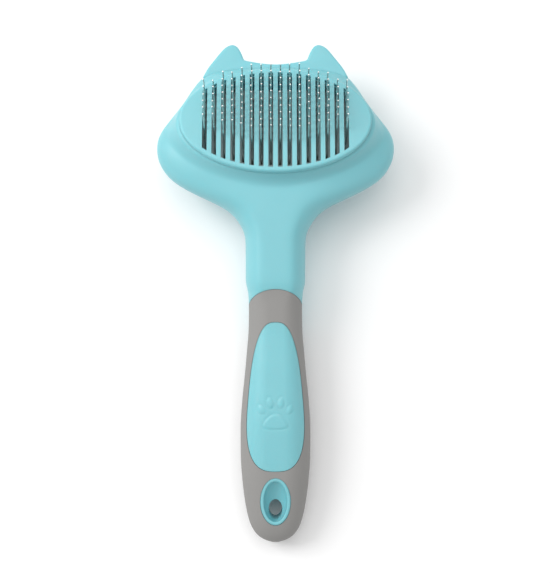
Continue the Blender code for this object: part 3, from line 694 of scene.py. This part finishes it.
def build_rear_shell():
    """Rear half with its dome, hollowed, opened for the button and recessed for the grip."""
    shell = half_loft("rear_shell_skin", -1, (0.0, TOP_Y), gap=0.9, steps=64)
    inside = half_loft("inside", -1, INSIDE_SPAN, WALL, past_seam=1.5, gap=5.0, steps=24)
    combine(shell, inside, 'DIFFERENCE')
    hole = loft_object("button_hole", prism_rings(button_outline(CLEARANCE), -45, -16), SLIDE)
    combine(shell, hole, 'DIFFERENCE')
    combine(shell, grip_pocket(-1, GRIP_JOIN), 'DIFFERENCE')
    combine(shell, eyelet_cutter(), 'DIFFERENCE')
    return finish_piece(shell, "casing", "shell_teal", ["rear_shell"])


def build_grip(side):
    """Soft sleeve on one half of the handle, with the inlay's window in the front one."""
    name, edge = ("grip_front", GRIP_FRONT_END) if side > 0 else ("grip_rear", GRIP_REAR_END)
    grip = half_loft(name + "_skin", side, (0.0, edge + 2.0), gap=1.2)
    combine(grip, grip_region(side, 0.0), 'INTERSECT')
    core = half_loft("core", side, (2.0, edge + 8.0), GRIP_WALL, past_seam=8.0, gap=4.0, steps=32)
    combine(grip, core, 'DIFFERENCE')
    combine(grip, eyelet_cutter(0.05), 'DIFFERENCE')
    if side > 0:
        window = prism_rings(inlay_outline(CLEARANCE / 2), 2.0, 30.0)
        combine(grip, loft_object("window", window), 'DIFFERENCE')
    return finish_piece(grip, "casing", "grip_grey", [name])


def inlay_outline(grow=0.0, steps=144):
    """Egg on a squared oval: narrower at the neck's end, broad and full at the other."""
    low, high = INLAY_ENDS
    half_length = (high - low) / 2 + grow
    angle = 2 * math.pi * np.arange(steps) / steps
    along = np.sign(np.sin(angle)) * np.abs(np.sin(angle)) ** (2 / INLAY_POWER)
    across = np.sign(np.cos(angle)) * np.abs(np.cos(angle)) ** (2 / INLAY_POWER)
    width = (INLAY_HALF + grow) * (1 - INLAY_TAPER * along)
    return np.column_stack([width * across, (low + high) / 2 + half_length * along])


# Paw relief: toes as (x, y, half width, half length, turn in degrees), then the pad
PAW_CENTRE = (0.0, 51.0)
PAW_RISE = 0.24
PAW_GROOVE = 0.10
TOES = ((-5.6, 2.4, 1.35, 2.1, 28.0), (-2.1, 5.0, 1.45, 2.4, 9.0), (2.1, 5.0, 1.45, 2.4, -9.0),
        (5.6, 2.4, 1.35, 2.1, -28.0))


def paw_relief(x, y):
    """Height of the raised paw: four toe pads over a wide main pad, with a fine groove round each."""
    dx, dy = x - PAW_CENTRE[0], y - PAW_CENTRE[1]
    height = np.zeros_like(dx)
    shapes = []
    for cx, cy, half_x, half_y, turn in TOES:
        cos, sin = math.cos(math.radians(turn)), math.sin(math.radians(turn))
        u, v = (dx - cx) * cos + (dy - cy) * sin, (dy - cy) * cos - (dx - cx) * sin
        radius = np.hypot(u / half_x, v / half_y)
        shapes.append((radius - 1) * min(half_x, half_y))
    v = dy + 2.2
    wide = 4.6 - 0.35 * v
    shapes.append((np.hypot(dx / wide, (v + 0.08 * dx**2 / 2) / 3.1) - 1) * 3.1)
    for away in shapes:
        height += PAW_RISE * ease(-away, -0.1, 0.9) - PAW_GROOVE * np.exp(-(away / 0.3) ** 2)
    return height


def build_inlay():
    """Egg-shaped panel that follows the grip's surface, with the raised paw on it."""
    low, high = INLAY_ENDS
    rows = np.arange(low - 1.0, high + 1.3, 0.3)
    steps = 90
    across = -np.cos(math.pi * (0.02 + 0.96 * np.arange(steps + 1) / steps))
    top, bottom = [], []
    for y in rows:
        x = half_width(y) * across
        line = np.full_like(x, y)
        top.append(np.column_stack([x, line, front_height(x, line) + 0.05 + paw_relief(x, line)]))
        bottom.append(np.column_stack([x, line, np.full_like(x, 0.0)]))
    rings = [np.concatenate([a, b[::-1]]) for a, b in zip(top, bottom)]
    inlay = loft_object("handle_inlay_skin", rings)
    combine(inlay, loft_object("egg", prism_rings(inlay_outline(), 2.0, 30.0)), 'INTERSECT')
    core = half_loft("core", 1, (low - 6.0, high + 6.0), GRIP_WALL, past_seam=8.0, gap=4.0, steps=32)
    combine(inlay, core, 'DIFFERENCE')
    return finish_piece(inlay, "casing", "shell_teal", ["handle_inlay"])


def build_eyelet():
    """Oval bush flush with the grip: rounded lip, deep funnel, straight throat, on both sides."""
    steps = 72

    def side_rings(height, sign):
        made = []
        for inset, drop in ((0.0, 1.2), (0.0, 0.25), (0.12, 0.05), (0.35, -0.03), (0.8, -0.02),
                            (1.1, 0.08), (1.35, 0.35)):
            half = (EYELET_HALF[0] - inset, EYELET_HALF[1] - inset)
            ring = ellipse(half, 0.0, steps, (0.0, EYELET_Y))
            ring[:, 2] = height(ring[:, 0], ring[:, 1]) - sign * drop
            made.append(ring)
        mouth = made[-1]
        throat = ellipse(HOLE_HALF, sign * THROAT_HALF, steps, (0.0, HOLE_Y))
        for t in np.linspace(0, 1, 12)[1:]:
            ring = mouth + (throat - mouth) * t ** 1.35
            ring[:, 2] = mouth[:, 2] + (throat[:, 2] - mouth[:, 2]) * t ** 0.8
            made.append(ring)
        return made

    front = side_rings(front_height, 1)
    rear = side_rings(rear_height, -1)
    eyelet = loop_object("hang_eyelet_skin", front + rear[::-1])
    return finish_piece(eyelet, "casing", "shell_teal", ["hang_eyelet"])


# ---------------------------------------------------------------- ejector

def slot_rows():
    """Signed X of each row and its number of pins, from left to right."""
    right = [((i + 0.5) * SLOT_PITCH, count) for i, count in enumerate(PINS_PER_ROW)]
    return [(-x, count) for x, count in reversed(right)] + right


def build_plate():
    """Oval tray with a rounded rim, a recess over the lip, one slot for each row, and two posts."""
    rings = [ellipse(PLATE, PLATE_LOW, 160), ellipse(PLATE, PLATE_HIGH - PLATE_EDGE, 160)]
    for bend in np.linspace(0, math.pi / 2, 7)[1:]:
        inset, drop = PLATE_EDGE * (1 - math.cos(bend)), PLATE_EDGE * (1 - math.sin(bend))
        rings.append(ellipse((PLATE[0] - inset, PLATE[1] - inset), PLATE_HIGH - drop, 160))
    plate = loft_object("cleaning_plate_skin", rings, FACE)
    hollow = [ellipse(PLATE_RECESS, z) for z in (-1.0, PLATE_HIGH - PLATE_TOP)]
    recess = loft_object("recess", hollow, FACE)
    combine(plate, recess, 'DIFFERENCE')
    verts, faces = [], []
    for x, _ in slot_rows():
        outline = []
        for edge in (-1, 1):
            side = x + edge * SLOT_WIDTH / 2
            reach = SLOT_FIELD[1] * math.sqrt(1 - (side / SLOT_FIELD[0]) ** 2)
            outline += [(side, edge * -reach), (side, edge * reach)]
        more_verts, more_faces = loft(prism_rings(outline, 0.5, 4.0), len(verts))
        verts += list(more_verts)
        faces += more_faces
    combine(plate, new_object("slots", np.array(verts), faces, FACE), 'DIFFERENCE')
    for sign in (-1, 1):
        post = [ellipse((POST_RADIUS, POST_RADIUS), z, 24, (sign * POST_X, 0.0))
                for z in (BRIDGE_FRONT + CLEARANCE, 2.2)]
        combine(plate, loft_object("post", post, SLIDE), 'UNION')
    return finish_piece(plate, "ejector", "shell_teal", ["cleaning_plate"])


def button_rise(x, u, proud):
    """Slide-frame height of the button's face, which stands proud of the dome."""
    v = np.full_like(x, -33.0)
    for _ in range(14):
        y = FACE_Y + u * math.cos(SLIDE_LEAN) + v * math.sin(SLIDE_LEAN)
        target = rear_height(x, y) - proud
        v = (target - FACE_Z + u * math.sin(SLIDE_LEAN)) / math.cos(SLIDE_LEAN)
    return v


def build_button():
    """D button that follows the dome, with a rounded rim round a sunk field of pillowed diamonds."""
    outline = button_outline()
    middle = np.array((0.0, BUTTON_U - 0.4))
    foot = BUTTON_U - BUTTON_HEIGHT / 2

    def inset_outline(inset):
        reach = np.hypot(*(outline - middle).T)
        return middle + (outline - middle) * ((reach - inset) / reach)[:, None]

    def raised(points):
        """How far the face stands proud of the dome: more towards its foot."""
        return 1.0 + 0.9 * ease(-points[:, 1], -(foot + 9.0), -foot)

    rings = [np.column_stack([outline, np.full(len(outline), BUTTON_INNER)])]
    for inset, sunk in ((0.0, 0.9), (0.1, 0.45), (0.35, 0.14), (0.7, 0.0), (1.5, 0.0), (1.9, 0.1),
                        (2.2, 0.4)):
        points = inset_outline(inset)
        rings.append(np.column_stack([points, button_rise(*points.T, raised(points) - sunk)]))
    inner = inset_outline(2.5)
    for share in np.linspace(0, 1, 48)[:-1]:
        points = inner + (middle - inner) * share
        x, u = points.T / DIAMOND
        pillow = np.abs(np.sin(math.pi * (x + u)) * np.sin(math.pi * (x - u))) ** 0.6
        lift = DIAMOND_HEIGHT * pillow * ease(np.full_like(x, share), 0.0, 0.08)
        rings.append(np.column_stack([points, button_rise(*points.T, raised(points) - 0.45 + lift)]))
    button = loft_object("button_skin", rings, SLIDE)
    return finish_piece(button, "ejector", "shell_teal", ["button"], sharp=60.0)


def build_spring(side, sign):
    """Conical return spring with closed end coils, which the bridge presses against the retainer."""
    closed = 0.6
    low = BRIDGE_FRONT + CLEARANCE + SPRING_WIRE
    turn = np.linspace(0.0, SPRING_TURNS, 40 * SPRING_TURNS + 1)
    rise = np.clip((turn - closed) / (SPRING_TURNS - 2 * closed), 0.0, 1.0)
    radius = SPRING_RADII[0] + (SPRING_RADII[1] - SPRING_RADII[0]) * turn / SPRING_TURNS
    angle = 2 * math.pi * turn
    outward = np.column_stack([np.cos(angle), np.sin(angle), np.zeros_like(angle)])
    path = outward * radius[:, None] + np.outer(low + (SPRING_TOP - low) * rise, (0.0, 0.0, 1.0))
    along = np.gradient(path, axis=0)
    upward = np.cross(outward, along)
    upward /= np.linalg.norm(upward, axis=1)[:, None]
    rings = []
    for point, out, up in zip(path, outward, upward):
        around = 2 * math.pi * np.arange(10)[:, None] / 10
        rings.append(point + SPRING_WIRE * (np.cos(around) * out + np.sin(around) * up))
    matrix = SLIDE @ Matrix.Translation((sign * SPRING_X, 0.0, 0.0))
    name = f"return_spring_{side}"
    spring = finish_piece(loft_object(name + "_coil", rings, matrix), "casing", "screw_steel", [name])
    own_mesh(spring)


# ---------------------------------------------------------------- pins

def wire(path, radius, sides=8):
    """Round wire along a path in the YZ plane, with a domed tip at its last point."""
    path = np.array(path, float)
    tangent = np.gradient(path, axis=0)
    tangent /= np.linalg.norm(tangent, axis=1)[:, None]
    side = np.array((1.0, 0.0, 0.0))
    angle = 2 * math.pi * (np.arange(sides)[:, None] + 0.5) / sides
    rings = []
    for point, along in zip(path, tangent):
        other = np.cross(along, side)
        rings.append(point + radius * (np.cos(angle) * side + np.sin(angle) * other))
    end, along = path[-1], tangent[-1]
    for share, rise in TIP_ROUND:
        rings.append(end + along * radius * rise + (rings[len(path) - 1] - end) * share)
    return rings


def build_pin_row(number, x, count, chance):
    """One row of bent wires standing in its slot."""
    verts, faces = [], []
    centre = ROW_OFFSET - ROW_OFFSET_PER_PIN * (PINS_PER_ROW[0] - count)
    for k in range(count):
        root = centre + (k - (count - 1) / 2) * PIN_PITCH
        sway = chance.uniform(-0.22, 0.22)
        drift = chance.uniform(-0.25, 0.25)
        lean = (PIN_KNEE_HEIGHT - PIN_FOOT) * math.tan(PIN_LEAN)
        knee = np.array((x + sway * 0.5, root + lean + drift, PIN_KNEE_HEIGHT))
        foot = np.array((x, root, PIN_FOOT))
        tip_lean = PIN_TIP_LEAN + chance.uniform(-0.05, 0.05)
        tip = knee + PIN_TIP * np.array((0.1 * sway, math.sin(tip_lean), math.cos(tip_lean)))
        down = (foot - knee) / np.linalg.norm(foot - knee)
        up = (tip - knee) / np.linalg.norm(tip - knee)
        start, end = knee + down * PIN_BEND, knee + up * PIN_BEND
        path = [foot, (foot + knee) / 2]
        for t in np.linspace(0, 1, 6):
            path.append((1 - t) ** 2 * start + 2 * t * (1 - t) * knee + t**2 * end)
        path.append(tip - up * PIN_RADIUS * TIP_ROUND[-1][1])
        more_verts, more_faces = loft(wire(path, PIN_RADIUS), len(verts))
        verts += list(more_verts)
        faces += more_faces
    name = f"pin_row_{number:02d}"
    row = new_object(name + "_wires", np.array(verts), faces, FACE)
    return finish_piece(row, "casing", "pin_steel", [name], sharp=50.0)


# ---------------------------------------------------------------- scene

def add_area(name, place, size, power):
    """Round soft light aimed at the object's middle."""
    light = bpy.data.lights.new(name, 'AREA')
    light.shape = 'DISK'
    light.size = size
    light.energy = power
    lamp = bpy.data.objects.new(name, light)
    lamp.location = place
    lamp.rotation_euler = (-Vector(place)).to_track_quat('-Z', 'Y').to_euler()
    bpy.context.scene.collection.objects.link(lamp)


def build_stage():
    """Pale floor just under the brush, an even white sky and two soft lights."""
    size = 3.0
    mesh = bpy.data.meshes.new("floor")
    corners = [(-size, -size, 0), (size, -size, 0), (size, size, 0), (-size, size, 0)]
    mesh.from_pydata(corners, [], [(0, 1, 2, 3)])
    floor = bpy.data.objects.new("floor", mesh)
    floor.location.z = -0.2 * MM
    bpy.context.scene.collection.objects.link(floor)
    paper = bpy.data.materials.new("pale_paper")
    paper.use_nodes = True
    shader = paper.node_tree.nodes["Principled BSDF"]
    shader.inputs["Base Color"].default_value = (0.97, 0.97, 0.97, 1)
    shader.inputs["Roughness"].default_value = 0.9
    mesh.materials.append(paper)
    world = bpy.data.worlds.new("studio")
    world.use_nodes = True
    sky = world.node_tree.nodes["Background"]
    sky.inputs["Color"].default_value = (1, 1, 1, 1)
    sky.inputs["Strength"].default_value = 0.60
    bpy.context.scene.world = world
    add_area("key", (-0.70, 0.30, 0.75), size=0.6, power=5.8)
    add_area("top", (0.0, 0.35, 0.98), size=0.9, power=3.1)
    bpy.context.scene.view_settings.view_transform = 'Standard'


def build_camera():
    """Looks square onto the handle's axis, at its middle, with view_width in view there."""
    centre = HANDLE @ Vector((0.0, LENGTH / 2, 0.0))
    toward = (HANDLE.to_3x3() @ Vector((0, 0, 1))).normalized()
    distance = 0.45
    view_width = 0.232
    data = bpy.data.cameras.new("camera")
    data.sensor_width = 36.0
    data.lens = data.sensor_width * distance / view_width
    data.clip_start = 0.01
    data.clip_end = 10.0
    camera = bpy.data.objects.new("camera", data)
    camera.location = centre + toward * distance
    camera.rotation_euler = (-toward).to_track_quat('-Z', 'Y').to_euler()
    bpy.context.scene.collection.objects.link(camera)
    bpy.context.scene.camera = camera


build_camera()
build_stage()
build_front_shell()
build_rear_shell()
build_grip(1)
build_grip(-1)
build_inlay()
build_eyelet()
build_plate()
build_button()
build_spring("left", -1)
build_spring("right", 1)
dice = random.Random(7)
for index, (row_x, pins) in enumerate(slot_rows()):
    build_pin_row(index + 1, row_x, pins, dice)

for kept in ("pin_bed", "pin_retainer", "push_bridge"):
    frame["nodes"][kept].material_slots[0].material = MATERIALS["bed_white"]
for kept in ("plate_screw_left", "plate_screw_right", "button_screw", "bed_screw_1", "bed_screw_2",
             "bed_screw_3", "bed_screw_4"):
    frame["nodes"][kept].material_slots[0].material = MATERIALS["screw_steel"]
